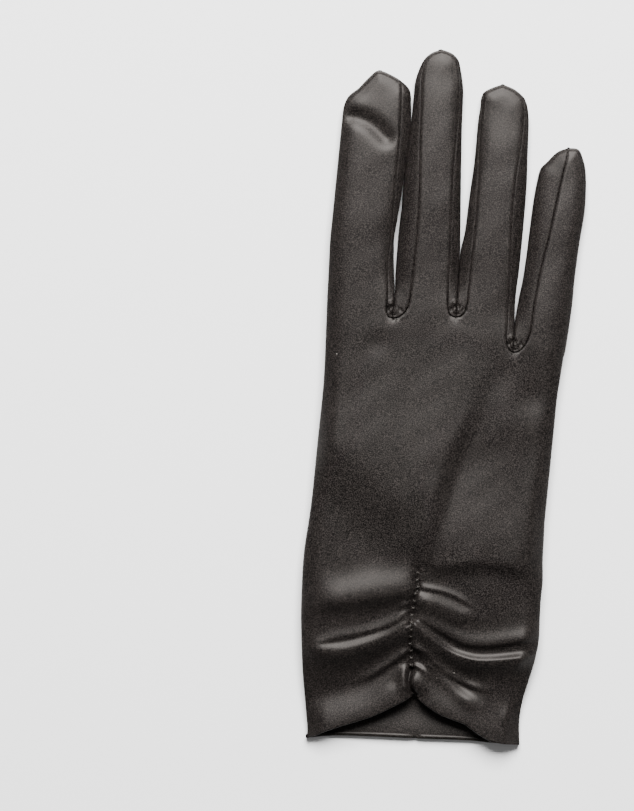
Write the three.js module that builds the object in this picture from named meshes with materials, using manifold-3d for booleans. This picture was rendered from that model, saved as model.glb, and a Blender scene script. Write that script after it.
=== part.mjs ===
// A wrist length satin dress glove for the right hand, laid flat with the back of the hand up and the
// thumb folded under the palm. It is cut and sewn from a trank (back and palm in one piece), three
// fourchettes (the forked strips that make the sides of the fingers) and a thumb set in an oval hole.
// The back is gathered along a short seam at the wrist, which lifts its hem into a shallow arch.
// Millimetres. +Y points to the fingertips, +Z up from the surface that the glove lies on, and the
// index finger is on the -X side. The origin is the middle of the underside.
import * as THREE from "three";
import { LoftGeometry } from "three/addons/geometries/LoftGeometry.js";
import { mergeVertices } from "three/addons/utils/BufferGeometryUtils.js";
import Module from "manifold-3d";

// Hand
const handLength = 147; // from the hem to the fork between index and middle finger
const palmWidth = 80; // across the palm, below the thumb's knuckle
const handThickness = 12.4; // of the hollow hand, lying flat
const knuckleStart = 0.75; // share of handLength from which it thins down to the fingers
const edgeHeight = 3.6; // of the soft side fold above the underside
const cloth = 1; // wall of satin and its seam allowances
const seamGap = 0.3; // between two pieces that are sewn together

// Fingers
const fingerThickness = 9.4;
const rootStep = 0.3; // of a finger's root inside the end of the hand, all round
const fingertipThickness = 3.4; // at the closing seam of a fingertip
const tipStart = 0.7; // share of a finger's length from which it thins down to its tip
const tipRise = 0.08; // share of fingerThickness by which the tip's middle lies higher
const rootStart = 0.08; // how far a finger's tube runs back into the hand, a share of its length
const rootDraw = 0.8; // share of its width and thickness that it keeps at that end
const rootLevel = 0.5; // share of its length by which its underside is down on the surface
const forkWeb = 2.4; // doubled seam allowance where two fingers part
const forkSeamDepth = 5; // how far a fourchette reaches into the hand below its fork
const fingers = [
  {
    name: "index",
    length: 79.6,
    width: 23,
    lean: 4.9, // degrees from +Y towards the little finger
    baseAcross: -0.291, // share of palmWidth
    baseAlong: 0.986, // share of handLength
    sections: [
      { at: 0.0, left: -0.465, right: 0.455 },
      { at: 0.15, left: -0.495, right: 0.432 },
      { at: 0.3, left: -0.51, right: 0.404 },
      { at: 0.45, left: -0.515, right: 0.42 },
      { at: 0.6, left: -0.51, right: 0.462 },
      { at: 0.75, left: -0.5, right: 0.48 },
      { at: 0.86, left: -0.49, right: 0.47 },
      { at: 0.92, left: -0.33, right: 0.43 },
      { at: 0.96, left: -0.2, right: 0.33 },
      { at: 1.0, left: -0.06, right: 0.07 },
    ],
  },
  {
    name: "middle",
    length: 89.5,
    width: 20,
    lean: 3.5,
    baseAcross: -0.019,
    baseAlong: 0.966,
    sections: [
      { at: 0.0, left: -0.54, right: 0.51 },
      { at: 0.15, left: -0.553, right: 0.49 },
      { at: 0.3, left: -0.54, right: 0.475 },
      { at: 0.45, left: -0.508, right: 0.458 },
      { at: 0.6, left: -0.465, right: 0.43 },
      { at: 0.75, left: -0.425, right: 0.41 },
      { at: 0.88, left: -0.4, right: 0.385 },
      { at: 0.93, left: -0.36, right: 0.335 },
      { at: 0.965, left: -0.27, right: 0.28 },
      { at: 1.0, left: -0.06, right: 0.08 },
    ],
  },
  {
    name: "ring",
    length: 80.2,
    width: 19,
    lean: 4.3,
    baseAcross: 0.231,
    baseAlong: 0.952,
    sections: [
      { at: 0.0, left: -0.5, right: 0.48 },
      { at: 0.15, left: -0.52, right: 0.49 },
      { at: 0.3, left: -0.515, right: 0.505 },
      { at: 0.45, left: -0.465, right: 0.525 },
      { at: 0.6, left: -0.425, right: 0.525 },
      { at: 0.75, left: -0.405, right: 0.515 },
      { at: 0.88, left: -0.395, right: 0.465 },
      { at: 0.93, left: -0.375, right: 0.415 },
      { at: 0.965, left: -0.32, right: 0.33 },
      { at: 1.0, left: -0.09, right: 0.08 },
    ],
  },
  {
    name: "little",
    length: 68.6,
    width: 17.5,
    lean: 8.6,
    baseAcross: 0.4525,
    baseAlong: 0.891,
    sections: [
      { at: 0.0, left: -0.48, right: 0.485 },
      { at: 0.15, left: -0.53, right: 0.485 },
      { at: 0.3, left: -0.52, right: 0.47 },
      { at: 0.45, left: -0.515, right: 0.455 },
      { at: 0.6, left: -0.525, right: 0.455 },
      { at: 0.75, left: -0.54, right: 0.45 },
      { at: 0.88, left: -0.49, right: 0.38 },
      { at: 0.93, left: -0.38, right: 0.31 },
      { at: 0.965, left: -0.26, right: 0.27 },
      { at: 1.0, left: -0.06, right: 0.14 },
    ],
  },
];

// The outline of the hand: at is a share of handLength, left and right are shares of palmWidth, and
// full is the share of handThickness that the hollow hand keeps there.
const handSections = [
  { at: 0.0, left: -0.515, right: 0.37, full: 0.82 },
  { at: 0.058, left: -0.515, right: 0.371, full: 0.87 },
  { at: 0.116, left: -0.5225, right: 0.39, full: 0.92 },
  { at: 0.193, left: -0.5325, right: 0.434, full: 0.97 },
  { at: 0.27, left: -0.536, right: 0.4525, full: 1.0 },
  { at: 0.367, left: -0.535, right: 0.461, full: 1.0 },
  { at: 0.483, left: -0.519, right: 0.4725, full: 1.0 },
  { at: 0.6, left: -0.486, right: 0.491, full: 1.0 },
  { at: 0.714, left: -0.461, right: 0.5125, full: 1.0 },
  { at: 0.83, left: -0.4375, right: 0.5375, full: 1.0 },
  { at: 1.0, left: -0.422, right: 0.568, full: 1.0 },
];

// Where the hand ends and the fingers part, from side to side: across is a share of palmWidth, along
// a share of handLength. The three middle rows are the forks, where the fourchettes turn.
const knuckleLine = [
  { across: -0.45, along: 1.0 },
  { across: -0.158, along: 1.0 },
  { across: 0.108, along: 1.005 },
  { across: 0.345, along: 0.932 },
  { across: 0.6, along: 0.93 },
];
const forks = knuckleLine.slice(1, 4);

// The two corners of the hem, in the same shares.
const hemLine = [
  { across: -0.515, along: 0.018 },
  { across: 0.37, along: 0.002 },
];
const mouth = 0.06; // how far the hollow is carried out through the hem, a share of handLength
const archRun = 0.1; // how far the cut of the back's hem is carried out there

// How far the seams of the fourchettes lie inside the edges of the fingers, as shares of each finger's
// width. at is a share of the finger's length.
const leftSeams = [
  { at: 0.0, middle: 0.3, ring: 0.26, little: 0.3 },
  { at: 0.3, middle: 0.31, ring: 0.16, little: 0.34 },
  { at: 0.6, middle: 0.235, ring: 0.1, little: 0.45 },
  { at: 0.85, middle: 0.11, ring: 0.07, little: 0.45 },
  { at: 1.1, middle: 0.06, ring: 0.06, little: 0.3 },
];
const rightSeams = [
  { at: 0.0, index: 0.19, middle: 0.24, ring: 0.26 },
  { at: 0.3, index: 0.09, middle: 0.16, ring: 0.21 },
  { at: 0.6, index: 0.135, middle: 0.13, ring: 0.18 },
  { at: 0.85, index: 0.14, middle: 0.08, ring: 0.1 },
  { at: 1.1, index: 0.1, middle: 0.06, ring: 0.06 },
];
const seamStart = 0.07; // where a seam leaves the fork's round end, a share of the finger's length
const seamEnd = 1.08; // past the fingertip

// Gathers at the wrist. The seam runs towards the hem from gatherTop, a share of handLength.
const gatherLength = 33;
const gatherTop = 0.4;
const gatherAcross = -0.07; // share of palmWidth, from the middle line
const foldHeight = 1.9;
const foldRise = 0.12; // share of the way to the side over which a fold rises from the seam
const foldFade = 0.55; // share of a fold's reach from which it fades again
// One row for each fold: side -1 is towards the index finger. start and end are shares of gatherLength
// below its top, at the seam and at the side of the hand. bend is how soon the fold turns outwards,
// tall is a share of foldHeight (negative for a valley), near and far are its half widths in shares
// of gatherLength, and reach is the share of the way to the side at which it has faded.
const folds = [
  { side: -1, start: 0.17, end: 0.16, bend: 1.0, tall: 0.5, near: 0.08, far: 0.2, reach: 1.0 },
  { side: -1, start: 0.36, end: 0.4, bend: 1.5, tall: -0.8, near: 0.07, far: 0.14, reach: 1.0 },
  { side: -1, start: 0.53, end: 0.82, bend: 2.8, tall: 1.0, near: 0.07, far: 0.13, reach: 1.0 },
  { side: -1, start: 0.72, end: 1.12, bend: 1.2, tall: -0.9, near: 0.07, far: 0.17, reach: 1.0 },
  { side: -1, start: 0.86, end: 1.35, bend: 1.6, tall: 0.9, near: 0.07, far: 0.12, reach: 0.6 },
  { side: 1, start: 0.05, end: 0.06, bend: 1.0, tall: -0.6, near: 0.1, far: 0.18, reach: 1.0 },
  { side: 1, start: 0.2, end: 0.45, bend: 1.2, tall: 0.7, near: 0.07, far: 0.13, reach: 0.7 },
  { side: 1, start: 0.36, end: 0.66, bend: 1.5, tall: -0.7, near: 0.07, far: 0.12, reach: 0.6 },
  { side: 1, start: 0.52, end: 0.88, bend: 3.6, tall: 1.0, near: 0.07, far: 0.12, reach: 1.0 },
  { side: 1, start: 0.69, end: 1.14, bend: 2.0, tall: -1.0, near: 0.07, far: 0.15, reach: 1.0 },
  { side: 1, start: 0.84, end: 1.42, bend: 2.2, tall: 0.9, near: 0.07, far: 0.12, reach: 0.7 },
];

// The arch of the back's hem: across in shares of palmWidth, along in shares of handLength.
const backHem = [
  { across: -0.51, along: 0.018 },
  { across: -0.4, along: 0.043 },
  { across: -0.244, along: 0.07 },
  { across: -0.1, along: 0.108 },
  { across: -0.06, along: 0.112 },
  { across: -0.02, along: 0.095 },
  { across: 0.139, along: 0.053 },
  { across: 0.2, along: 0.028 },
  { across: 0.28, along: 0.006 },
];

// Thumb. Its root is an oval in the palm, and its sleeve lies flat across the palm's underside.
const thumbLength = 67.5; // of the sleeve, from inside the root to the tip
const thumbWidth = 30;
const thumbThickness = 3;
const rootLength = 70;
const rootWidth = 29.4;
const rootTilt = 10; // degrees, its upper end towards the little finger
const rootCentre = { across: -0.244, along: 0.457 };
const sleeveStart = { across: -0.15, along: 0.53 };
const sleeveLean = 44.4; // degrees from +Y towards the little finger
const sleeveSections = [
  { at: -0.06, left: -0.3, right: 0.38 },
  { at: 0.1, left: -0.5, right: 0.48 },
  { at: 0.25, left: -0.6, right: 0.45 },
  { at: 0.4, left: -0.52, right: 0.4 },
  { at: 0.55, left: -0.42, right: 0.36 },
  { at: 0.7, left: -0.37, right: 0.32 },
  { at: 0.85, left: -0.31, right: 0.26 },
  { at: 0.94, left: -0.26, right: 0.2 },
  { at: 1.0, left: -0.12, right: 0.1 },
];
// The stretch of the sleeve that lifts the palm: at is a share of thumbLength, and half is half its
// width there, a share of thumbWidth.
const liftStretch = [
  { at: 0.14, half: 0.55 },
  { at: 0.92, half: 0.29 },
];
const palmLiftMargin = 3; // how far beyond the sleeve the palm is still fully lifted
const palmLiftFall = 12; // over which it comes down to the surface again

// How square the cloth lies in cross-section: 2 is an ellipse, and more is flatter with rounder sides.
// flat is how much of the width is pressed quite level, 1 for none.
const backSection = { square: 3.2 };
const foldSection = { square: 4 };
const palmSection = { square: 4, flat: 1.05 };
const fingerSection = { square: 2.6 };
const sleeveSection = { square: 6, flat: 1.03 };

const finest = 0.05; // detail smaller than this is smoothed away where forms are joined and cut

const wasm = await Module();
wasm.setup();

const radians = THREE.MathUtils.degToRad;
const smooth = THREE.MathUtils.smoothstep;
const lerp = THREE.MathUtils.lerp;

// A smooth curve through one column of a table whose rows are in the order of key.
function along(table, key, column, at) {
  const last = table.length - 1;
  const i = Math.min(last - 1, Math.max(0, table.findIndex((row) => row[key] > at) - 1));
  const k = at >= table[last][key] ? last - 1 : i;
  const [a, b] = [table[k], table[k + 1]];
  const slope = (p, q) => (q[column] - p[column]) / (q[key] - p[key]);
  const step = b[key] - a[key];
  const t = THREE.MathUtils.clamp((at - a[key]) / step, 0, 1);
  const startSlope = k > 0 ? slope(table[k - 1], b) : slope(a, b);
  const endSlope = k + 2 <= last ? slope(a, table[k + 2]) : slope(a, b);
  return (
    a[column] * (1 + 2 * t) * (1 - t) ** 2 +
    b[column] * t * t * (3 - 2 * t) +
    startSlope * step * t * (1 - t) ** 2 +
    endSlope * step * t * t * (t - 1)
  );
}

// A straight line through the points of a table, for edges that turn a corner.
function straight(table, key, column, at) {
  const i = THREE.MathUtils.clamp(table.findIndex((row) => row[key] > at), 1, table.length - 1);
  const k = at >= table[table.length - 1][key] ? table.length - 1 : i;
  const [a, b] = [table[k - 1], table[k]];
  return lerp(a[column], b[column], (at - a[key]) / (b[key] - a[key]));
}

const place = (row) => new THREE.Vector2(row.across * palmWidth, row.along * handLength);

// A frame in the plane of the glove: from a start, along a line that leans from +Y towards +X.
function frameOf(start, lean) {
  const forward = new THREE.Vector2(Math.sin(radians(lean)), Math.cos(radians(lean)));
  const aside = new THREE.Vector2(forward.y, -forward.x);
  return (ahead, across) =>
    start.clone().addScaledVector(forward, ahead).addScaledVector(aside, across);
}

// How far the palm is lifted by the sleeve of the thumb under it.
const sleeveAt = frameOf(place(sleeveStart), sleeveLean);
const palmLift = thumbThickness + seamGap;
function lift(x, y) {
  const [first, last] = liftStretch;
  const start = sleeveAt(first.at * thumbLength, 0);
  const end = sleeveAt(last.at * thumbLength, 0);
  const line = new THREE.Line3(
    new THREE.Vector3(start.x, start.y, 0),
    new THREE.Vector3(end.x, end.y, 0),
  );
  const point = new THREE.Vector3(x, y, 0);
  const share = line.closestPointToPointParameter(point, true);
  const nearest = line.at(share, new THREE.Vector3());
  const radius = lerp(first.half, last.half, share) * thumbWidth;
  const beyond = point.distanceTo(nearest) - radius;
  return palmLift * (1 - smooth(beyond, palmLiftMargin, palmLiftMargin + palmLiftFall));
}

// The height that the gathers add to the back of the hand at a point.
function gathers(x, y, leftEdge, rightEdge) {
  const seam = gatherAcross * palmWidth;
  const top = gatherTop * handLength;
  let height = 0;
  for (const fold of folds) {
    const way = fold.side < 0 ? seam - leftEdge : rightEdge - seam;
    const u = (fold.side * (x - seam)) / way;
    if (u < 0 || u > fold.reach) {
      continue;
    }
    const below = lerp(fold.start, fold.end, 1 - (1 - u) ** fold.bend);
    const half = lerp(fold.near, fold.far, u) * gatherLength;
    const off = (y - (top - below * gatherLength)) / half;
    const strength = smooth(u, 0, foldRise) * (1 - smooth(u, foldFade * fold.reach, fold.reach));
    height += fold.tall * foldHeight * strength * Math.exp(-off * off);
  }
  return height;
}

// The profile of a soft tube lying flat: how near the top (or the underside) is to its full height
// at a place across it, from -1 to 1.
function crown(across, { square, flat = 1 }) {
  return Math.min(1, flat * Math.sqrt(Math.max(0, 1 - Math.abs(across) ** square)));
}
const topColumns = 24;
const underColumns = 8;

// Going round a section: places across it from -1 to 1, with which side they are on.
function round(top, under) {
  const places = [];
  for (let i = 0; i <= top; i++) {
    places.push({ across: -Math.cos((Math.PI * i) / top), above: true });
  }
  for (let i = under - 1; i > 0; i--) {
    places.push({ across: -Math.cos((Math.PI * i) / under), above: false });
  }
  return places;
}

// One ring of the hand, drawn in by the thickness of the cloth for its hollow.
function handRing(at, inset) {
  const left = along(handSections, "at", "left", at) * palmWidth;
  const right = along(handSections, "at", "right", at) * palmWidth;
  const bulk = lerp(handThickness, fingerThickness + 2 * rootStep, smooth(at, knuckleStart, 1));
  const full = along(handSections, "at", "full", at) * bulk;
  const half = (right - left) / 2 - inset;
  const middle = (right + left) / 2;
  return round(topColumns, underColumns).map(({ across, above }) => {
    const x = middle + half * across;
    const share = x / palmWidth;
    const start = straight(hemLine, "across", "along", share);
    const end = straight(knuckleLine, "across", "along", share);
    const y = lerp(start, end, at) * handLength;
    const under = lift(x, y);
    const edge = under + edgeHeight;
    const upper = edge + crown(across, backSection) * (full - edge - inset);
    const lower = edge - crown(across, palmSection) * (edgeHeight - inset);
    const fold = crown(across, foldSection) * gathers(x, y, left, right);
    return new THREE.Vector3(x, y, above ? upper + fold : lower);
  });
}

// One ring of a finger. Its tube runs back into the hand and narrows there.
function fingerRing(finger, at, inset) {
  const frame = frameOf(place({ across: finger.baseAcross, along: finger.baseAlong }), finger.lean);
  const draw = lerp(rootDraw, 1, smooth(at, -rootStart, rootStart / 4));
  const left = along(finger.sections, "at", "left", at) * finger.width * draw + inset;
  const right = along(finger.sections, "at", "right", at) * finger.width * draw - inset;
  const tip = smooth(at, tipStart, 1);
  const thick = lerp(fingerThickness, fingertipThickness, tip ** 2);
  const rise = lerp(rootStep, 0, smooth(at, 0, rootLevel)) + tipRise * tip * fingerThickness;
  const half = thick / 2;
  return round(8, 6).map(({ across, above }) => {
    const point = frame(at * finger.length, lerp(left, right, (across + 1) / 2));
    const reach = (half - inset) * draw * crown(across, fingerSection);
    const low = rise + lift(point.x, point.y);
    return new THREE.Vector3(point.x, point.y, above ? rise + half + reach : low + half - reach);
  });
}

// One ring of the thumb's sleeve.
function sleeveRing(at, inset) {
  const left = along(sleeveSections, "at", "left", at) * thumbWidth + inset;
  const right = along(sleeveSections, "at", "right", at) * thumbWidth - inset;
  const half = thumbThickness / 2;
  return round(6, 6).map(({ across, above }) => {
    const point = sleeveAt(at * thumbLength, lerp(left, right, (across + 1) / 2));
    const reach = (half - inset) * crown(across, sleeveSection);
    return new THREE.Vector3(point.x, point.y, half + (above ? reach : -reach));
  });
}

// A three.js geometry as a solid that can be joined and cut.
function solid(geometry) {
  const bare = geometry.index ? geometry.toNonIndexed() : geometry.clone();
  for (const name of Object.keys(bare.attributes)) {
    if (name !== "position") {
      bare.deleteAttribute(name);
    }
  }
  const merged = mergeVertices(bare, 1e-4);
  const corners = merged.index.array;
  const triangles = [];
  for (let i = 0; i < corners.length; i += 3) {
    const [a, b, c] = corners.slice(i, i + 3);
    if (a !== b && b !== c && c !== a) {
      triangles.push(a, b, c);
    }
  }
  return new wasm.Manifold(
    new wasm.Mesh({
      numProp: 3,
      vertProperties: merged.attributes.position.array,
      triVerts: new Uint32Array(triangles),
      tolerance: finest,
    }),
  );
}

// A ring drawn together to its middle, which closes the end of a tube.
function closing(ring) {
  const middle = ring.reduce((sum, point) => sum.add(point), new THREE.Vector3());
  middle.divideScalar(ring.length);
  return ring.map(() => middle);
}

function loft(rings) {
  const last = rings[rings.length - 1];
  const geometry = new LoftGeometry([closing(rings[0]), ...rings, closing(last)]);
  return solid(geometry);
}

// An upright prism of an outline in the plane of the glove, between two heights.
function prism(points, low, high) {
  const shape = new THREE.Shape(points);
  const geometry = new THREE.ExtrudeGeometry(shape, { depth: high - low, bevelEnabled: false });
  return solid(geometry.translate(0, 0, low));
}

const range = (from, to, steps, ease = 1) =>
  Array.from({ length: steps + 1 }, (_, i) => lerp(from, to, 1 - (1 - i / steps) ** ease));

// The hand is ringed closely where it is gathered and widely beside that.
const gatherFoot = gatherTop - gatherLength / handLength;
const handStations = [
  ...range(0, gatherFoot, 3).slice(0, -1),
  ...range(gatherFoot, gatherTop, 18),
  ...range(gatherTop, 1, 8).slice(1),
];

function fingerTube(finger, inset) {
  const end = 1 - inset / finger.length;
  return loft(range(-rootStart, end, 10, 1.5).map((at) => fingerRing(finger, at, inset)));
}

const join = (solids) => solids.reduce((sum, next) => sum.add(next));

function glove(inset) {
  const stations = inset
    ? [-mouth, ...handStations.slice(0, -1), 1 - forkWeb / handLength]
    : handStations;
  const hand = loft(stations.map((at) => handRing(at, inset)));
  return join([hand, ...fingers.map((finger) => fingerTube(finger, inset))]);
}

const shell = glove(0).subtract(glove(cloth));

// The seam of a fourchette on one side of a finger, from the fork to past the fingertip.
function seamLine(finger, side, shift) {
  const frame = frameOf(place({ across: finger.baseAcross, along: finger.baseAlong }), finger.lean);
  const table = side === "right" ? rightSeams : leftSeams;
  const inwards = side === "right" ? -1 : 1;
  return range(seamStart, seamEnd, 8).map((at) => {
    const share = along(finger.sections, "at", side, at);
    const inset = along(table, "at", finger.name, at);
    return frame(at * finger.length, (share + inwards * inset) * finger.width - inwards * shift);
  });
}

// The outline that a fourchette fills, seen from above: up one seam, over the fingertips and down
// the other, closed by a round end below the fork.
function fourchetteOutline(index, shift) {
  const up = seamLine(fingers[index], "right", shift);
  const down = seamLine(fingers[index + 1], "left", shift).reverse();
  const from = down[down.length - 1];
  const to = up[0];
  const fork = place(forks[index]);
  const bottom = new THREE.Vector2(fork.x, fork.y - forkSeamDepth + shift);
  const control = (end) => new THREE.Vector2(end.x, bottom.y);
  const turn = new THREE.CurvePath();
  turn.add(new THREE.QuadraticBezierCurve(from, control(from), bottom));
  turn.add(new THREE.QuadraticBezierCurve(bottom, control(to), to));
  return [...up, ...down, ...turn.getPoints(4).slice(1, -1)];
}

const below = -1; // clear of the underside
const above = 2 * handThickness; // clear of the top
const fourchetteSpace = (index, shift) => prism(fourchetteOutline(index, shift), below, above);

// The oval of the thumb's root, grown or drawn in by an amount.
function rootOval(grow) {
  const centre = place(rootCentre);
  const curve = new THREE.EllipseCurve(
    centre.x,
    centre.y,
    rootWidth / 2 + grow,
    rootLength / 2 + grow,
    0,
    2 * Math.PI,
    false,
    -radians(rootTilt),
  );
  return curve.getPoints(32).slice(0, -1);
}

const palmTop = palmLift + 1.5 * cloth; // just above the palm's upper face
const palmHole = prism(rootOval(0), below, palmTop);

// The back's hem arches up over the palm's.
const hemArch = (() => {
  const curve = new THREE.SplineCurve(backHem.map(place));
  const corners = [backHem[backHem.length - 1], backHem[0]].map(
    (row) => new THREE.Vector2(row.across * palmWidth, -archRun * handLength),
  );
  return prism([...curve.getPoints(20), ...corners], edgeHeight + cloth, above);
})();

const spaces = [0, 1, 2].map((index) => fourchetteSpace(index, -seamGap / 2));
const trank = [...spaces, palmHole, hemArch].reduce((cut, tool) => cut.subtract(tool), shell);
const fourchettes = [0, 1, 2].map((index) => shell.intersect(fourchetteSpace(index, seamGap / 2)));

// The thumb: an oval dish under the hole of the palm, joined to the flat sleeve.
function thumbForm(inset) {
  const low = inset;
  const high = thumbThickness - inset;
  const dish = prism(rootOval(-seamGap - inset), low, high);
  const end = 1 - inset / thumbLength;
  return dish.add(loft(range(sleeveSections[0].at, end, 10, 1.4).map((at) => sleeveRing(at, inset))));
}
const rootMouth = prism(rootOval(-seamGap - cloth), thumbThickness / 2, above);
const thumb = thumbForm(0).subtract(thumbForm(cloth)).subtract(rootMouth);

// Black satin: a very dark, slightly warm grey with a soft gloss.
const satin = () => new THREE.MeshStandardMaterial({ color: 0x3a3633, roughness: 0.45, metalness: 0 });

function meshOf(name, form) {
  const { vertProperties, triVerts } = form.getMesh();
  const geometry = new THREE.BufferGeometry();
  geometry.setAttribute("position", new THREE.BufferAttribute(new Float32Array(vertProperties), 3));
  geometry.setIndex(new THREE.BufferAttribute(new Uint32Array(triVerts), 1));
  const mesh = new THREE.Mesh(geometry, satin());
  mesh.name = name;
  return mesh;
}

const pieces = new THREE.Group();
pieces.add(
  meshOf("trank", trank),
  meshOf("fourchette_index_middle", fourchettes[0]),
  meshOf("fourchette_middle_ring", fourchettes[1]),
  meshOf("fourchette_ring_little", fourchettes[2]),
  meshOf("thumb", thumb),
);

// The origin goes to the middle of the underside.
const box = new THREE.Box3().setFromObject(pieces);
const centre = box.getCenter(new THREE.Vector3());
pieces.position.set(-centre.x, -centre.y, -box.min.z);

const part = new THREE.Group();
part.add(pieces);
export default part;
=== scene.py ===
# The dressed look of a wrist length satin dress glove for the right hand, which lies with the back of
# the hand up and the thumb folded beneath the palm. Each piece of cloth is a grid of points: where it
# lies is read from outlines, and how high from the forms of hand, fingers, folds and seams.
import math

import bpy
import numpy as np
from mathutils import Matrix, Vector
from mathutils.geometry import delaunay_2d_cdt


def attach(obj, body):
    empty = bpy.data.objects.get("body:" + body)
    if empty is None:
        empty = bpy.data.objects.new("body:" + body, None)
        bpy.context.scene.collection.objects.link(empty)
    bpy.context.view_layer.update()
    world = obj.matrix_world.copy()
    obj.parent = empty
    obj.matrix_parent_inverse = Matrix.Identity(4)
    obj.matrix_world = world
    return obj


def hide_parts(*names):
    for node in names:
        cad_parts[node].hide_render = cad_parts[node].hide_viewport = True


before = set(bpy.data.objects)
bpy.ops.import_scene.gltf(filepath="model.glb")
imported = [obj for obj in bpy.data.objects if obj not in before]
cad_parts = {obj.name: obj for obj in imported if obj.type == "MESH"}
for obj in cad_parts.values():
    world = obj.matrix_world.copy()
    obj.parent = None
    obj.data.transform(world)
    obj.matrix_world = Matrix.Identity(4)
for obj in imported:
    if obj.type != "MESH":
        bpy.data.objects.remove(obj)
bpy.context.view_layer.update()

bl_info = {
    "name": "Satin dress glove",
    "version": (1, 0, 0),
    "blender": (4, 5, 0),
    "location": "View3D > Sidebar > Glove",
    "description": "Sews a gathered satin dress glove around its packed solids",
    "category": "Object",
}

MM = 0.001
SEED = 7
PICTURE_WIDTH = 634
PICTURE_HEIGHT = 811

# Places on the glove are read from the picture in its pixels, of which 3 make a millimetre. The middle
# of the glove is at this pixel.
PIXELS_PER_MM = 3.0
MIDDLE_PIXEL = (443.44, 397.45)

# The four fingers from index to little finger. left and right run from the fork to the top of the
# finger along its outline. left_seam and right_seam are where the fourchette is sewn to the back.
FINGERS = [
    {
        "left": [
            (326.2, 322), (327, 300), (328, 280), (329, 260), (330, 240), (332, 220), (334, 200),
            (336, 180), (338, 160), (340, 140), (342, 120), (343.5, 108), (346.6, 99.6), (351, 94.5),
            (358.4, 89), (364, 83), (370, 77), (376, 71.8), (380, 71.5),
        ],
        "right": [
            (391.5, 319), (393.3, 303), (394.4, 290), (393.9, 278), (393.8, 242), (397.4, 219),
            (402, 190.5), (406.8, 162), (409.5, 136), (410.8, 124), (411, 105), (410.3, 92.5),
            (405.6, 85.5), (396.2, 78.4), (384.4, 72.5), (380, 71.5),
        ],
        "left_seam": None,
        "right_seam": [
            (391.5, 319), (388, 317.5), (386, 313), (385.8, 307), (386.4, 300), (387, 290), (387.5, 266),
            (390, 243), (393.3, 207), (396.2, 172), (399, 136), (400.4, 101), (401, 83),
        ],
    },
    {
        "left": [
            (391.5, 319), (393.5, 303), (394.6, 290), (395, 280), (395.6, 266), (398.5, 231),
            (401.4, 207), (402.8, 190.5), (405.6, 167), (409.2, 136), (412, 112), (413.4, 97), (415, 82),
            (419.8, 67.8), (424.5, 59.5), (431.6, 53.6), (440, 50.6),
        ],
        "right": [
            (455.2, 318.3), (456.3, 300), (457.4, 285), (458.9, 262), (459.8, 250), (459.9, 242),
            (460.4, 207), (461, 162), (461.8, 124), (463, 94), (462, 80), (460.4, 70), (458.7, 61.9),
            (452.8, 54.8), (443.4, 50.8), (440, 50.6),
        ],
        "left_seam": [
            (391.5, 319), (397, 318.5), (403, 314.5), (407.5, 308), (409.4, 301), (410.3, 294),
            (413.9, 266), (417.4, 231), (419.3, 195), (419.8, 148), (421, 101), (422, 78), (424.5, 62),
        ],
        "right_seam": [
            (455.2, 318.3), (450, 316.5), (447.5, 312), (446.6, 306), (446.8, 300), (447, 289),
            (448.6, 266), (450.5, 218), (452.8, 171), (455, 148), (457.3, 124), (458.8, 100),
            (459.6, 80), (459, 66),
        ],
    },
    {
        "left": [
            (455.2, 318.3), (456.5, 300), (457.6, 285), (459.1, 262), (460.3, 250), (464.6, 231),
            (469.3, 195), (474, 162), (477.6, 124), (480, 108), (481, 98), (484, 92.5), (493, 88),
            (502.4, 85),
        ],
        "right": [
            (511.8, 353.3), (512.6, 338), (513.5, 324), (515, 297), (519, 266), (522.4, 231),
            (526, 190.5), (527, 162), (528.3, 129), (528, 114), (526, 103), (522.4, 97), (514, 90),
            (502.4, 85),
        ],
        "left_seam": [
            (455.2, 318.3), (460, 317), (464, 312.5), (466.5, 306), (467.6, 298), (468, 290),
            (470.5, 266), (474, 231), (477.6, 183), (478.8, 148), (481, 118), (483.5, 95),
        ],
        "right_seam": [
            (511.8, 353.3), (507.5, 350), (505.3, 344), (504.7, 336.7), (505.9, 325), (508.3, 290),
            (509.4, 254), (510.6, 219), (514, 183), (520, 148), (523.5, 115), (524, 101),
        ],
    },
    {
        "left": [
            (511.8, 353.3), (512.8, 338), (513.9, 324), (517.7, 301), (522.4, 278), (526, 254),
            (529.5, 226), (533, 200), (536.6, 181), (540, 169), (547, 162), (556.6, 152.7),
            (567.3, 148.5),
        ],
        "right": [
            (562.5, 358), (565, 348), (571, 308), (574, 278), (579, 242), (583.8, 214), (585.4, 190.5),
            (585, 171.6), (582.6, 160), (577.9, 150), (567.3, 148.5),
        ],
        "left_seam": [
            (511.8, 353.3), (517, 352.5), (522, 348), (526.5, 341), (529.5, 333), (530.7, 325),
            (535.4, 294), (541.3, 266), (548.4, 238), (555.5, 207), (561.4, 181), (565.5, 163),
            (567.4, 150),
        ],
        "right_seam": None,
    },
]

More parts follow.
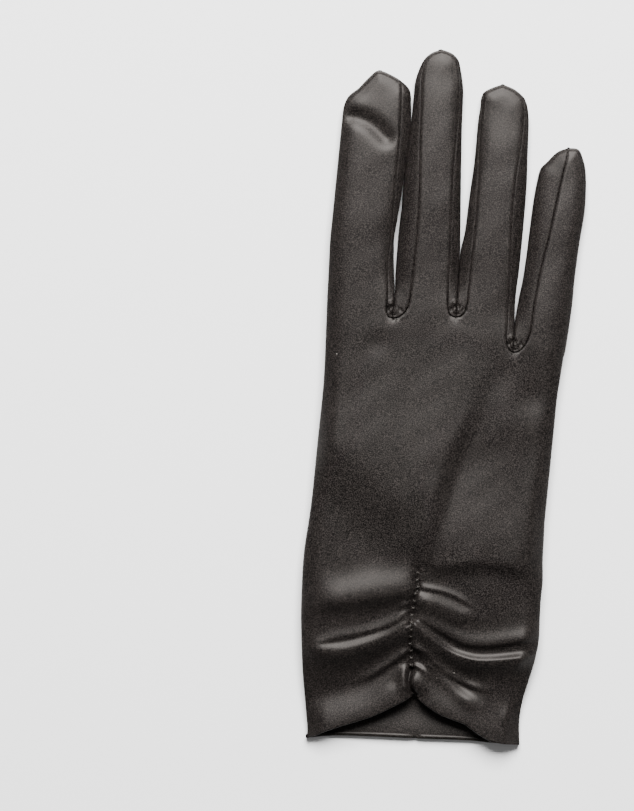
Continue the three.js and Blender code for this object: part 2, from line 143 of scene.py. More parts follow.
# The lines that part the hand into the four grids that carry the fingers, from the forks to the hems.
# The first and last are its outline, and the second follows the gathering seam.
HAND_LINES = [
    [
        (326.2, 322), (323.6, 380), (317.4, 442), (311, 504), (303.7, 554), (301.2, 604), (301.2, 629),
        (302.4, 666), (305.4, 703), (307.4, 729), (306, 737),
    ],
    [
        (391.5, 319), (396, 400), (404, 480), (413, 540), (417.7, 568), (416.5, 577), (417.6, 585),
        (414.4, 595), (411.9, 610), (410.7, 622), (410.3, 635), (409.8, 643), (411, 651), (410.7, 660),
        (411, 668), (408.8, 676), (408.6, 683), (411.3, 690), (415.5, 695.4),
    ],
    [(455.2, 318.3), (462, 420), (468, 560), (470, 640), (468, 725.5)],
    [(511.8, 353.3), (510, 460), (507, 560), (500, 650), (492, 740.6)],
    [
        (562.5, 358), (559, 380), (556, 400), (554, 420), (552, 440), (550, 460), (548, 480), (546, 500),
        (544, 520), (543, 540), (542, 560), (542, 580), (540, 600), (539, 620), (538, 640), (534, 660),
        (528, 680), (522, 700), (519, 720), (519, 744),
    ],
]
BACK_HEM = [
    (306, 737), (309.5, 736), (333, 726.8), (371.5, 714.6), (402, 700), (411.3, 694.7), (415.5, 695.4),
    (425, 703), (440, 713), (463, 722), (468, 725.5), (478.7, 733), (489, 739), (492, 740.6), (519, 744),
]
PALM_HEM = [(306, 737), (340, 734.4), (415, 737.4), (468, 739.4), (494, 742), (519, 744)]
PALM_ENDS = [(306, 737), (415, 737.4), (468, 739.4), (494, 742), (519, 744)]
KNUCKLES = [(326.2, 322), (391.5, 319), (455.2, 318.3), (511.8, 353.3), (562.5, 358)]

GATHER_SEAM = HAND_LINES[1][4:15]
CLEFT = [(411, 668), (408.8, 676), (408.6, 683), (411.3, 690), (415.5, 695.4)]

# Folds of the gathers, each from the seam outwards: the height of its crest in millimetres, how far it
# falls away towards the fingers and towards the hem, how softly it starts, and its crest.
FOLDS = [
    (2.2, 7.0, 3.4, 1.8, [(412, 588), (395, 591), (370, 595), (345, 599), (306, 601)]),
    (0.6, 0.8, 0.7, 0.9, [(409, 601), (398, 606)]),
    (0.75, 2.4, 0.8, 0.9, [(407, 610), (392, 621), (372, 628.5), (352, 633.5), (332, 637), (312, 641)]),
    (1.9, 2.9, 3.8, 0.9, [
        (410, 619), (394, 632), (377, 640), (359, 646), (341, 650), (318, 649), (290, 645),
    ]),
    (1.1, 1.6, 0.8, 0.9, [(408, 649), (394, 659), (381, 668), (371, 675), (362, 679)]),
    (0.8, 1.3, 1.3, 0.9, [(404, 666), (403, 680), (406, 692)]),
    (2.0, 20.0, 3.3, 3.0, [(436, 563), (463, 560), (490, 559), (520, 565), (535, 572)]),
    (0.5, 1.5, 0.6, 0.9, [(418, 586), (435, 589), (448, 592.5), (463, 600), (474, 607)]),
    (0.7, 2.6, 2.0, 0.9, [(418, 596), (433, 600), (448, 606), (463, 612), (478, 618)]),
    (0.9, 2.6, 2.0, 0.9, [(416, 601), (436, 609), (454, 617), (470, 622)]),
    (1.1, 3.5, 1.0, 0.9, [
        (420, 617), (440, 629), (463, 641.5), (480, 643.5), (494, 643), (512, 640), (530, 637),
        (552, 634),
    ]),
    (2.0, 1.6, 4.0, 0.9, [
        (414, 622), (433, 640), (448, 651), (463, 657), (479, 660), (502, 659), (528, 656), (556, 652),
    ]),
    (0.9, 1.8, 0.7, 0.9, [
        (413, 645), (425, 651), (434, 661), (445, 671), (458, 679), (473, 686), (489, 690),
    ]),
    (1.0, 2.0, 2.5, 0.9, [(430, 664), (440, 675), (452, 687), (465, 698), (480, 706)]),
    (1.0, 1.6, 0.9, 0.9, [(414, 646), (421, 652), (427, 660), (431, 672)]),
    (0.6, 0.9, 0.7, 0.9, [(413, 664), (420, 667), (425, 672), (427, 680)]),
    (0.8, 3.0, 3.0, 0.9, [(536, 672), (522, 695), (500, 728)]),
]

# The field above the gathers is raised between these lines.
FIELD_RIGHT = [
    (418, 640), (418, 579), (425, 552), (433, 524), (440, 500), (452, 461), (463, 436), (478, 400),
    (500, 330),
]
FIELD_LEFT = [
    (416, 640), (414, 570), (407, 551), (389, 529), (371, 510), (354, 492), (330, 474), (295, 452),
]
FIELD_RISE = 2.4

# Where the index finger's tip is dented.
DENT = [(346, 116), (360, 119), (373, 126), (386, 139)]

# Small dips of the back: a pixel, the depth and the half width.
DIPS = [
    ((532, 399), 0.8, 6), ((396, 681), 0.5, 1.6), ((377, 342), 0.4, 3.5), ((415, 696), 2.2, 3.2),
]

# The knot of cloth at the end of each fork: across and along from the fork, height and half width.
KNOT = [
    (-0.5, 4.9, 0.8, 0.75), (0.5, 3.9, -1.1, 0.6), (-1.5, 2.9, -0.7, 0.5), (0.2, 2.6, 0.5, 0.6),
    (1.6, 3.2, 0.4, 0.55), (-0.2, 1.2, -0.5, 0.5), (2.6, 3.0, -0.5, 0.5),
]

# The thumb beneath: its outline seen from above, in millimetres from the middle of the glove, and the
# oval hole of the palm that it is sewn into.
THUMB_OUTLINE = [
    (-30.1, -83.1), (-24.3, -79.7), (-17.2, -71.6), (-11.4, -61.0), (-8.6, -51.0), (-4.2, -45.4),
    (-1.5, -43.3), (4.9, -35.4), (11.0, -27.1), (17.2, -19.1), (23.4, -11.0), (29.3, -2.5), (32.2, 3.1),
    (32.9, 8.1), (28.2, 12.7), (22.4, 12.8), (17.0, 9.5), (8.7, 3.5), (0.5, -2.7), (-8.7, -7.8),
    (-17.5, -13.4), (-24.5, -16.4), (-31.5, -26.0), (-36.5, -37.5), (-38.9, -50.0), (-38.6, -63.0),
    (-35.6, -76.0),
]
OVAL_CENTRE = (-23.98, -48.65)
OVAL_HALF_LENGTH = 35.0
OVAL_HALF_WIDTH = 14.7
OVAL_TILT = 10.0

# The palm is lifted over the thumb: the ends of the middle line of its sleeve, the sleeve's half
# widths at them, and how much the palm is lifted.
SLEEVE_FROM = (-9.9, -31.2)
SLEEVE_TO = (27.0, 6.5)
SLEEVE_HALF_WIDTHS = (16.5, 8.7)
SLEEVE_LIFT = 3.3

# Heights in millimetres. Each part of the glove has a level halfway between back and palm: at the hem,
# in the hand, at the roots of the fingers and at their tips. Its edges are this much above and below.
HEM_MID = 1.2
HAND_MID = 4.5
FINGER_MID = 4.2
TIP_MID = 2.0
HALF_EDGE = 1.1

# How far the fold between back and palm lies inside the outline.
FOLD_INWARDS = 0.1

# Where the gathers lie along the glove, and how far it is from them to the knuckles.
GATHERS_ALONG = -50
TO_KNUCKLES = 85


# Lines and outlines


def place(points):
    """Pixels of the picture as millimetres from the middle of the glove."""
    spots = np.array(points, float).reshape(-1, 2)
    across = (spots[:, 0] - MIDDLE_PIXEL[0]) / PIXELS_PER_MM
    along = (MIDDLE_PIXEL[1] - spots[:, 1]) / PIXELS_PER_MM
    return np.column_stack([across, along])


def lengths(line):
    """How far along a line each of its points is."""
    steps = np.hypot(*np.diff(line, axis=0).T)
    return np.concatenate([[0.0], np.cumsum(steps)])


def walk(line, shares):
    """Points at shares of the way along a line."""
    far = lengths(line)
    wanted = np.asarray(shares) * far[-1]
    return np.column_stack([np.interp(wanted, far, line[:, i]) for i in range(line.shape[1])])


def curve(points, fine=0.4):
    """A smooth curve through points, as a line of steps of about that many millimetres."""
    ends = [2 * points[0] - points[1]], [2 * points[-1] - points[-2]]
    knots = np.concatenate([ends[0], points, ends[1]])
    pieces = []
    for a, b, c, d in zip(knots, knots[1:], knots[2:], knots[3:]):
        count = max(2, int(np.hypot(*(c - b)) / fine))
        t = np.linspace(0, 1, count, endpoint=False)[:, None]
        slope_b = (c - a) / 2
        slope_c = (d - b) / 2
        pieces.append(
            b * (1 + 2 * t) * (1 - t) ** 2
            + c * t * t * (3 - 2 * t)
            + slope_b * t * (1 - t) ** 2
            + slope_c * t * t * (t - 1)
        )
    return np.concatenate([*pieces, points[-1:]])


def nearest(spots, line):
    """For each spot its distance to a line, the share of the way along it, and on which side it is."""
    starts = line[:-1]
    runs = np.diff(line, axis=0)
    squares = np.maximum((runs**2).sum(1), 1e-12)
    far = lengths(line)
    best = np.full(len(spots), np.inf)
    share = np.zeros(len(spots))
    side = np.zeros(len(spots))
    for start, run, square, reached in zip(starts, runs, squares, far):
        away = spots - start
        t = np.clip(away @ run / square, 0, 1)
        off = away - t[:, None] * run
        distance = np.hypot(off[:, 0], off[:, 1])
        closer = distance < best
        turned = run[0] * away[:, 1] - run[1] * away[:, 0]
        best = np.where(closer, distance, best)
        share = np.where(closer, (reached + t * math.sqrt(square)) / far[-1], share)
        side = np.where(closer, np.sign(turned), side)
    return best, share, side


def past_end(spots, line):
    """How far spots lie beyond the start of a line, in the direction from which it comes."""
    away = line[0] - line[1]
    return np.maximum(0, (spots - line[0]) @ (away / np.hypot(*away)))


def smooth(value, low, high):
    """0 up to low and 1 from high, with a smooth turn between them."""
    t = np.clip((value - low) / (high - low), 0, 1)
    return t * t * (3 - 2 * t)


def mix(a, b, t):
    return a + (b - a) * t


def swell(distance, width):
    """How nearly the round side of a soft tube has reached its full height, at a distance inside it."""
    t = np.clip(distance / width, 0, 1)
    return np.sqrt(np.maximum(0, 1 - (1 - t) ** 2))


def bow(distance, width):
    """Like swell, for cloth that is pressed to an edge and leaves it at a gentle slope."""
    t = np.clip(distance / width, 0, 1)
    return 1 - (1 - t) ** 2


def hump(distance, width):
    """A soft hump: 1 in its middle, fading away over about twice that width."""
    return np.exp(-((distance / width) ** 2))


def noise(spots, size, seed):
    """A soft seeded unevenness of about -1 to 1, with waves of about that many millimetres."""
    chance = np.random.default_rng(SEED + seed)
    total = np.zeros(len(spots))
    waves = 7
    for _ in range(waves):
        angle = chance.uniform(0, 2 * math.pi)
        phase = chance.uniform(0, 2 * math.pi)
        pace = 2 * math.pi / (size * chance.uniform(0.7, 1.6))
        total += np.sin(pace * (math.cos(angle) * spots[:, 0] + math.sin(angle) * spots[:, 1]) + phase)
    return total / math.sqrt(waves)


class Outlines:
    """The lines of the glove in millimetres, worked out once."""

    def __init__(self):
        self.left = [curve(place(f["left"])) for f in FINGERS]
        self.right = [curve(place(f["right"])) for f in FINGERS]
        self.hand = [curve(place(line)) for line in HAND_LINES]
        self.back_hem = curve(place(BACK_HEM))
        self.palm_hem = curve(place(PALM_HEM))
        self.knuckles = place(KNUCKLES)
        self.gathers = curve(place(GATHER_SEAM))
        self.cleft = curve(place(CLEFT))
        self.folds = [curve(place(crest), 1.0) for *_, crest in FOLDS]
        self.field = [curve(place(line)) for line in (FIELD_RIGHT, FIELD_LEFT)]
        self.dent = curve(place(DENT))
        self.seams = []
        for k, finger in enumerate(FINGERS):
            for name, outline in (("left_seam", self.left[k]), ("right_seam", self.right[k])):
                self.seams.append(self.seam_to_outline(finger[name], outline))
        left_side = np.concatenate([self.hand[0][::-1], self.left[0][1:]])
        right_side = np.concatenate([self.hand[4][::-1], self.right[3][1:]])
        self.sides = [left_side, right_side]
        self.finger_sides = []
        for k in range(4):
            start = left_side if k == 0 else self.left[k]
            end = right_side if k == 3 else self.right[k]
            self.finger_sides.append(np.concatenate([start, end[::-1]]))

    @staticmethod
    def seam_to_outline(points, outline):
        """A seam, the share of the outline where it ends, and the whole edge of the finger's panel."""
        if points is None:
            return {"seam": None, "edge": outline, "seam_share": 0.0, "joins": 0.0}
        line = place(points)
        joins = nearest(line[-1:], outline)[1][0]
        meeting = walk(outline, [joins])
        seam = curve(np.concatenate([line, meeting]))
        far = lengths(outline) / lengths(outline)[-1]
        rest = outline[far > joins + 1e-6]
        edge = np.concatenate([seam, rest])
        seam_share = lengths(seam)[-1] / lengths(edge)[-1]
        return {"seam": seam, "edge": edge, "seam_share": seam_share, "joins": joins}


# How high the cloth lies


def palm_lift(spots):
    """How far the palm is lifted by the thumb under it."""
    start = np.array(SLEEVE_FROM)
    run = np.array(SLEEVE_TO) - start
    t = np.clip((spots - start) @ run / (run @ run), 0, 1)
    off = spots - start - t[:, None] * run
    beyond = np.hypot(off[:, 0], off[:, 1]) - mix(*SLEEVE_HALF_WIDTHS, t)
    return SLEEVE_LIFT * (1 - smooth(beyond, 3, 15))


class Heights:
    """The height of the cloth above the floor at places on the glove, in millimetres."""

    def __init__(self, lines, sizes):
        self.lines = lines
        self.hand_rise = sizes.hand_height / MM - HAND_MID - HALF_EDGE
        self.finger_rise = sizes.finger_height / MM - FINGER_MID - HALF_EDGE
        self.gather_depth = sizes.gather_depth / MM
        self.seam_depth = sizes.seam_depth / MM

    def near_knuckles(self, spots):
        """0 at the gathers and 1 at the knuckles, over the whole length of the hand."""
        return np.clip((spots[:, 1] - GATHERS_ALONG) / TO_KNUCKLES, 0, 1)

    def side_mid(self, spots):
        """Height of the side fold of the hand, which comes down to the floor at the hem."""
        return mix(HEM_MID, HAND_MID, smooth(spots[:, 1] - self.lines.palm_hem[0, 1], 0, 35))

    def blend(self, spots):
        """0 on the hand and 1 on the fingers, turning over smoothly at the knuckles."""
        knuckle = np.interp(spots[:, 0], self.lines.knuckles[:, 0], self.lines.knuckles[:, 1])
        return smooth(spots[:, 1] - knuckle, -18, 14)

    def finger_mid(self, spots, k):
        """Height of a finger's side fold, and the distance from the finger's tip."""
        tip = self.lines.left[k][-1]
        away = np.hypot(spots[:, 0] - tip[0], spots[:, 1] - tip[1])
        return mix(TIP_MID, FINGER_MID, smooth(away, 0, 60)), away

    def inside(self, spots, k):
        """Distances to the outline of the hand and to that of a finger."""
        left = nearest(spots, self.lines.sides[0])[0]
        right = nearest(spots, self.lines.sides[1])[0]
        finger = nearest(spots, self.lines.finger_sides[k])[0]
        return np.minimum(left, right), finger

    def top(self, spots, k):
        """Height of the back at spots on finger k or on the part of the hand below it."""
        hand_in, finger_in = self.inside(spots, k)
        middle, away = self.finger_mid(spots, k)
        t = self.blend(spots)
        to_hem = nearest(spots, self.lines.back_hem)[0]
        hand = self.side_mid(spots) + HALF_EDGE
        arch = mix(0.15, 0.9, smooth(to_hem, 0, 45)) * mix(1.0, 0.77, self.near_knuckles(spots))
        dome = 0.05 * swell(hand_in, 0.5) + 0.6 * bow(hand_in, 6) + 0.35 * bow(hand_in, 30)
        hand += self.hand_rise * arch * dome
        full = mix(0.62, 1.0, smooth(away, 2, 26))
        packed = self.near_fork(spots)
        crown = 0.05 * swell(finger_in, 0.5) + 0.4 * bow(finger_in, 4.5) + 0.55 * bow(finger_in, 9)
        past = spots[:, 1] - np.interp(spots[:, 0], *self.lines.knuckles.T)
        packed = np.maximum(0.85 * packed, (1 - smooth(past, -3, 3)) * smooth(hand_in, 3, 9))
        finger = middle + HALF_EDGE
        finger += self.finger_rise * full * mix(crown, 1, packed)
        inner = np.clip(hand_in / 5, 0, 1)
        hand += inner * (self.back_forms(spots) + 0.16 * noise(spots, 24, 1))
        near = np.minimum(hand_in, finger_in)
        level = mix(hand, finger, t) + self.knuckle_ridge(spots) * np.clip(hand_in / 6, 0, 1)
        level += 0.05 * noise(spots, 12, 2) * np.clip(near / 4, 0, 1)
        return level + self.finger_details(spots, k, finger_in, away, t)

    def knuckle_ridge(self, spots):
        """The knuckles stand a little above the cloth on either side of them."""
        past = spots[:, 1] - np.interp(spots[:, 0], *place([(326, 325), (455, 327), (562, 350)]).T)
        return 0.6 * hump(past, np.where(past > 0, 18, 9))

    def near_fork(self, spots):
        """Where the cloth is packed together at the ends of the fourchettes, from 0 to 1."""
        packed = np.zeros(len(spots))
        for fork in self.lines.knuckles[1:4]:
            off = np.hypot(*(spots - fork - np.array([0.0, 1.0])).T)
            packed = np.maximum(packed, 1 - smooth(off, 2.0, 16.0))
        return packed

    def rosettes(self, spots):
        """The cloth of a fork's end is drawn into a small knot: a lip, a pit and a curl beside it."""
        height = np.zeros(len(spots))
        for fork in self.lines.knuckles[1:4]:
            for across, along, tall, wide in KNOT:
                off = np.hypot(*(spots - fork - np.array([across, along])).T)
                height += tall * hump(off, wide)
        return height

    def under(self, spots, k):
        """Height of the palm and of the fingers' palm side, as top does it for the back."""
        hand_in, finger_in = self.inside(spots, k)
        middle, _ = self.finger_mid(spots, k)
        hand = (self.side_mid(spots) - HALF_EDGE) * (1 - swell(hand_in, 6))
        finger = (middle - HALF_EDGE) * (1 - swell(finger_in, 3.5))
        t = self.blend(spots)
        lift = palm_lift(spots) * np.clip(np.minimum(hand_in, mix(20, finger_in, t)) / 5, 0, 1)
        to_hem = nearest(spots, self.lines.palm_hem)[0]
        lift += 1.3 * (1 - smooth(to_hem, 0, 12)) * smooth(hand_in, 2, 10)
        return mix(hand, finger, t) + lift

    def back_forms(self, spots):
        """The folds of the gathers and the soft forms of the back of the hand."""
        lines = self.lines
        height = np.zeros(len(spots))
        for (tall, upper, lower, start, _), crest in zip(FOLDS, lines.folds):
            distance, share, side = nearest(spots, crest)
            upwards = np.sign(crest[-1, 0] - crest[0, 0])
            strength = mix(0.75, 1, smooth(share, 0, 0.12)) * (1 - smooth(share, 0.75, 1.0) * 0.8)
            strength *= hump(past_end(spots, crest), start)
            strength *= hump(past_end(spots, crest[::-1]), 2.5)
            height += tall * strength * hump(distance, np.where(side * upwards > 0, upper, lower))
        distance, share, side = nearest(spots, lines.gathers)
        along = share * lengths(lines.gathers)[-1]
        height -= self.gather_depth * mix(0.3, 1, smooth(share, 0, 0.12)) * hump(distance, 0.6)
        pucker = np.sin(2 * math.pi * (along / 2.1 + 0.5 * np.sin(along / 3.1)) + side * 0.9)
        height += 0.12 * pucker * hump(distance - 0.9, 0.8) * (distance > 0.05)
        height -= 0.5 * hump(distance, 2.2)
        height -= 2.4 * hump(nearest(spots, lines.cleft)[0], 0.75)
        height += self.raised_field(spots)
        for pixel, deep, wide in DIPS:
            height -= deep * hump(np.hypot(*(spots - place([pixel])).T), wide)
        to_hem = nearest(spots, lines.back_hem)[0]
        right = smooth(spots[:, 0], *place([(455, 0), (495, 0)])[:, 0])
        height += mix(3.0, 3.2, right) * (1 - smooth(to_hem / mix(12, 21, right), 0, 1))
        height -= 1.1 * (1 - right) * hump(to_hem - 14, 6)
        return height

    def raised_field(self, spots):
        """The raised field above the gathers, between a slope on its left and the thumb's ridge."""
        right, left = self.lines.field
        distance, _, side = nearest(spots, right)
        past_right = smooth(side * distance, -3.8, 3.8)
        distance, _, side = nearest(spots, left)
        past_left = smooth(-side * distance, -11, 11)
        low, high, fading, gone = place([(0, 600), (0, 540), (0, 490), (0, 325)])[:, 1]
        fade = smooth(spots[:, 1], low, high) * (1 - smooth(spots[:, 1], fading, gone))
        return FIELD_RISE * past_right * past_left * fade

    def finger_details(self, spots, k, inside, away, t):
        """Seam grooves, the ridge of a fingertip's seam allowance and the crumpled ends of the forks."""
        height = np.zeros(len(spots))
        for n in (2 * k, 2 * k + 1):
            seam = self.lines.seams[n]["seam"]
            if seam is None:
                continue
            distance, share, side = nearest(spots, seam)
            along = share * lengths(seam)[-1]
            height -= self.seam_depth * hump(distance, 0.3)
            height += 0.03 * hump(distance - 0.9, 0.45)
            height += 0.02 * np.sin(2 * math.pi * along / 2.4) * hump(distance, 1.2)
            on_strip = (side > 0) if n % 2 == 0 else (side < 0)
            crumple = hump(along, 7) * hump(distance, 2.6)
            wave = np.sin(2 * math.pi * (distance - 0.25) / 1.05)
            height += 0.45 * crumple * wave * on_strip
        tip = 1 - smooth(away, 12, 22)
        height += 0.12 * tip * hump(inside - 1.2, 0.4)
        height -= 0.22 * tip * hump(inside - 0.5, 0.3)
        height += self.rosettes(spots) * np.clip(inside / 0.4, 0, 1)
        if k == 0:
            distance = nearest(spots, self.lines.dent)[0]
            height -= 1.5 * hump(distance, 2.5) * np.clip(inside / 3, 0, 1)
        return height


# Meshes


class Cloth:
    """Points in millimetres and faces of one piece."""

    def __init__(self):
        self.points = []
        self.faces = []
        self.count = 0

    def add(self, spots, levels):
        """Adds points and returns their numbers."""
        self.points.append(np.column_stack([spots, levels]))
        numbers = np.arange(self.count, self.count + len(spots))
        self.count += len(spots)
        return numbers

    def sheet(self, grid, turned=False):
        """Faces over a grid of point numbers whose rows go up and whose columns go right."""
        for low, high in zip(grid, grid[1:]):
            for a, b, c, d in zip(low, low[1:], high[1:], high):
                self.face((a, d, c, b) if turned else (a, b, c, d))

    def face(self, corners):
        kept = [c for i, c in enumerate(corners) if c != corners[i - 1]]
        if len(kept) > 2:
            self.faces.append(tuple(int(c) for c in kept))

    def mesh(self, name):
        points = np.concatenate(self.points)
        used = np.unique(np.concatenate([np.array(f) for f in self.faces]))
        renumbered = np.full(len(points), -1)
        renumbered[used] = np.arange(len(used))
        faces = [tuple(int(renumbered[c]) for c in f) for f in self.faces]
        mesh = bpy.data.meshes.new(name)
        mesh.from_pydata((points[used] * MM).tolist(), [], faces)
        mesh.validate()
        mesh.shade_smooth()
        mesh.update()
        return mesh


def cosine(count):
    """Shares from 0 to 1 in that many steps, which are finer at both ends."""
    return (1 - np.cos(np.pi * np.arange(count + 1) / count)) / 2


# Each finger's panel, and the part of the hand below it, has this many columns of faces. The rows
# are shares of the way: down the hand and up a finger, finer at the gathers and the forks.
BACK_COLUMNS = 24
PALM_COLUMNS = 12
HAND_ROWS = np.concatenate([np.linspace(0, 0.56, 56, endpoint=False), np.linspace(0.56, 1, 136)])
FINGER_ROWS = np.concatenate(
    [np.linspace(0, 0.09, 20, endpoint=False), 0.09 + (1 - (1 - np.linspace(0, 1, 66)) ** 1.2) * 0.902]
)


def hand_grid(lines, ends, hem, columns):
    """Spots of the back or the palm: a list of rows from the knuckles to the hem."""
    bounds = []
    for line, end in zip(lines.hand, ends):
        bounds.append(walk(curve_to(line, end), HAND_ROWS))
    shares = [nearest(np.array([b[-1]]), hem)[1][0] for b in bounds]
    u = cosine(columns)
    rows = []
    for r, v in enumerate(HAND_ROWS):
        parts = []
        for j in range(4):
            chord = bounds[j][r] + u[:, None] * (bounds[j + 1][r] - bounds[j][r])
            last = bounds[j][-1] + u[:, None] * (bounds[j + 1][-1] - bounds[j][-1])
            wanted = mix(shares[j], shares[j + 1], u)
            true = walk(hem, wanted)
            bend = smooth(np.array([v]), 0.7, 1.0)[0] ** 2
            part = chord + bend * (true - last)
            parts.append(part if j == 0 else part[1:])
        rows.append(np.concatenate(parts))
    return rows


def curve_to(line, end):
    """A line of the hand carried on, or cut short, to where a hem ends it."""
    target = place([end])[0]
    kept = line[line[:, 1] > target[1] + 0.5]
    reach = kept[-1]
    count = max(2, int(np.hypot(*(target - reach)) / 0.5))
    bridge = reach + np.linspace(0, 1, count + 1)[1:, None] * (target - reach)
    return np.concatenate([kept, bridge])


def finger_grid(lines, k, columns):
    """Spots of one side of a finger, between its seams: a list of rows from the fork to the tip."""
    left = walk(lines.seams[2 * k]["edge"], finger_rows(lines, 2 * k))
    right = walk(lines.seams[2 * k + 1]["edge"], finger_rows(lines, 2 * k + 1))
    u = cosine(columns)
    return [a + u[:, None] * (b - a) for a, b in zip(left, right)]


def finger_rows(lines, n):
    """Shares along a finger's edge, with one row set exactly where the fourchette ends."""
    rows = FINGER_ROWS.copy()
    end = lines.seams[n]["seam_share"]
    if end:
        rows[strip_end(lines, n)] = end
    return rows


def strip_end(lines, n):
    """The number of the row at which a fourchette ends."""
    return int(np.argmin(abs(FINGER_ROWS - lines.seams[n]["seam_share"])))


def make_trank(lines, heights):
    """The back and the palm with the faces of the fingers, as one hollow piece."""
    cloth = Cloth()
    back = hand_grid(lines, [line[-1] for line in HAND_LINES], lines.back_hem, BACK_COLUMNS)
    palm = hand_grid(lines, PALM_ENDS, lines.palm_hem, PALM_COLUMNS)
    top_hand = hand_points(cloth, heights.top, back, BACK_COLUMNS)
    under_hand = hand_points(cloth, heights.under, palm, PALM_COLUMNS)
    points = np.concatenate(cloth.points)
    high = points[top_hand[-1]]
    low = points[under_hand[-1]]
    gap = high[:, 2] - np.interp(high[:, 0], low[:, 0], low[:, 2])
    top_hem = turned_hem(cloth, heights.top, back, BACK_COLUMNS, -1, gap)
    gap = np.interp(low[:, 0], high[:, 0], high[:, 2]) - low[:, 2]
    under_hem = turned_hem(cloth, heights.under, palm, PALM_COLUMNS, 1, gap)
    cloth.sheet(np.concatenate([top_hand, top_hem])[::-1])
    palm_with_hole(cloth, np.concatenate([under_hand, under_hem])[::-1])
    for k in range(4):
        top = finger_points(cloth, heights.top, lines, k, BACK_COLUMNS, top_hand[0])
        under = finger_points(cloth, heights.under, lines, k, PALM_COLUMNS, under_hand[0])
        cloth.sheet(top)
        cloth.sheet(under, turned=True)
        close_tip(cloth, top[-1], under[-1])
        for n, column in ((2 * k, 0), (2 * k + 1, -1)):
            start = strip_end(lines, n) if lines.seams[n]["seam_share"] else 0
            high = top[start:, column]
            low = under[start:, column]
            wall(cloth, high, low, -1 if column == 0 else 1)
    wall(cloth, top_hand[::-1, 0], under_hand[::-1, 0], -1)
    wall(cloth, top_hand[::-1, -1], under_hand[::-1, -1], 1)
    return cloth


def hand_points(cloth, height, rows, columns, shift=0.0):
    """Adds the points of the back or palm and returns their numbers as a grid."""
    spots = np.array(rows)
    levels = np.zeros(spots.shape[:2])
    for k in range(4):
        part = slice(k * columns, (k + 1) * columns + 1)
        levels[:, part] = height(spots[:, part].reshape(-1, 2), k).reshape(len(rows), -1)
    levels += shift
    return cloth.add(spots.reshape(-1, 2), levels.ravel()).reshape(levels.shape)


def finger_points(cloth, height, lines, k, columns, hand_row):
    """Adds the points of a finger's panel. Its first row is the hand's own."""
    rows = finger_grid(lines, k, columns)[1:]
    spots = np.concatenate(rows)
    numbers = cloth.add(spots, height(spots, k)).reshape(len(rows), -1)
    first = hand_row[k * columns : (k + 1) * columns + 1]
    return np.concatenate([[first], numbers])


def wall(cloth, high, low, side):
    """The narrow fold between back and palm along an outline, from the hem or fork upwards."""
    points = np.concatenate(cloth.points)
    middle = (points[high] + points[low]) / 2
    middle[:, 0] -= side * FOLD_INWARDS
    between = cloth.add(middle[:, :2], middle[:, 2])
    grid = np.array([high, between, low]).T
    cloth.sheet(grid, turned=side < 0)


def close_tip(cloth, high, low):
    """Closes a fingertip with one narrow row. The back has two columns for each of the palm."""
    for i in range(len(low) - 1):
        cloth.face((low[i], low[i + 1], high[2 * i + 2], high[2 * i + 1], high[2 * i]))


# The hem is turned to the inside: how far each row lies out from the edge and into the glove.
HEM_TURN = [(0.2, 0.1), (0.28, 0.35), (0.12, 0.65), (-1.3, 0.75)]


def turned_hem(cloth, height, rows, columns, side, gap):
    """The rows of a hem that is turned inside, where gap is the room between back and palm."""
    edge = rows[-1]
    run = np.gradient(edge, axis=0)
    run /= np.maximum(np.hypot(*run.T), 1e-9)[:, None]
    outwards = np.column_stack([run[:, 1], -run[:, 0]])
    room = np.clip(gap / 3.5, 0.12, 1)
    turned = [edge + outwards * out * room[:, None] for out, _ in HEM_TURN]
    shift = np.array([side * into * room for _, into in HEM_TURN])
    return hand_points(cloth, height, turned, columns, shift)


def palm_with_hole(cloth, grid):
    """The palm, open where the thumb is sewn in. Points just inside the oval are drawn out to it."""
    points = np.concatenate(cloth.points)
    spots = points[:, :2] - np.array(OVAL_CENTRE)
    tilt = math.radians(OVAL_TILT)
    long_way = spots @ np.array([math.sin(tilt), math.cos(tilt)])
    short_way = spots @ np.array([math.cos(tilt), -math.sin(tilt)])
    reach = np.hypot(long_way / OVAL_HALF_LENGTH, short_way / OVAL_HALF_WIDTH)
    before = len(cloth.faces)
    cloth.sheet(grid, turned=True)
    kept = [f for f in cloth.faces[before:] if max(reach[list(f)]) > 1]
    cloth.faces[before:] = kept
    rim = set()
    for f in kept:
        rim.update(c for c in f if reach[c] < 1)
    for number in rim:
        outwards = spots[number] / max(reach[number], 1e-6)
        points[number, :2] = outwards + np.array(OVAL_CENTRE)
    cloth.points = [points]


def make_fourchette(lines, heights, k):
    """The strip between finger k and the next: two sides that meet in an upright line at the fork."""
    cloth = Cloth()
    base = None
    for n, side in ((2 * k + 1, 1), (2 * k + 2, -1)):
        finger = n // 2
        outline = lines.right[finger] if side > 0 else lines.left[finger]
        seam = lines.seams[n]
        last = strip_end(lines, n)
        shares = finger_rows(lines, n)[: last + 1]
        inner = walk(seam["edge"], shares)
        outer = walk(outline, shares / shares[-1] * seam["joins"])
        paths = strip_paths(heights, finger, inner, outer, side)
        if base is None:
            base = cloth.add(paths[0][:, :2], paths[0][:, 2])
        grid = [base] + [cloth.add(path[:, :2], path[:, 2]) for path in paths[1:]]
        cloth.sheet(np.array(grid), turned=side < 0)
    return cloth


STRIP_COLUMNS = 22


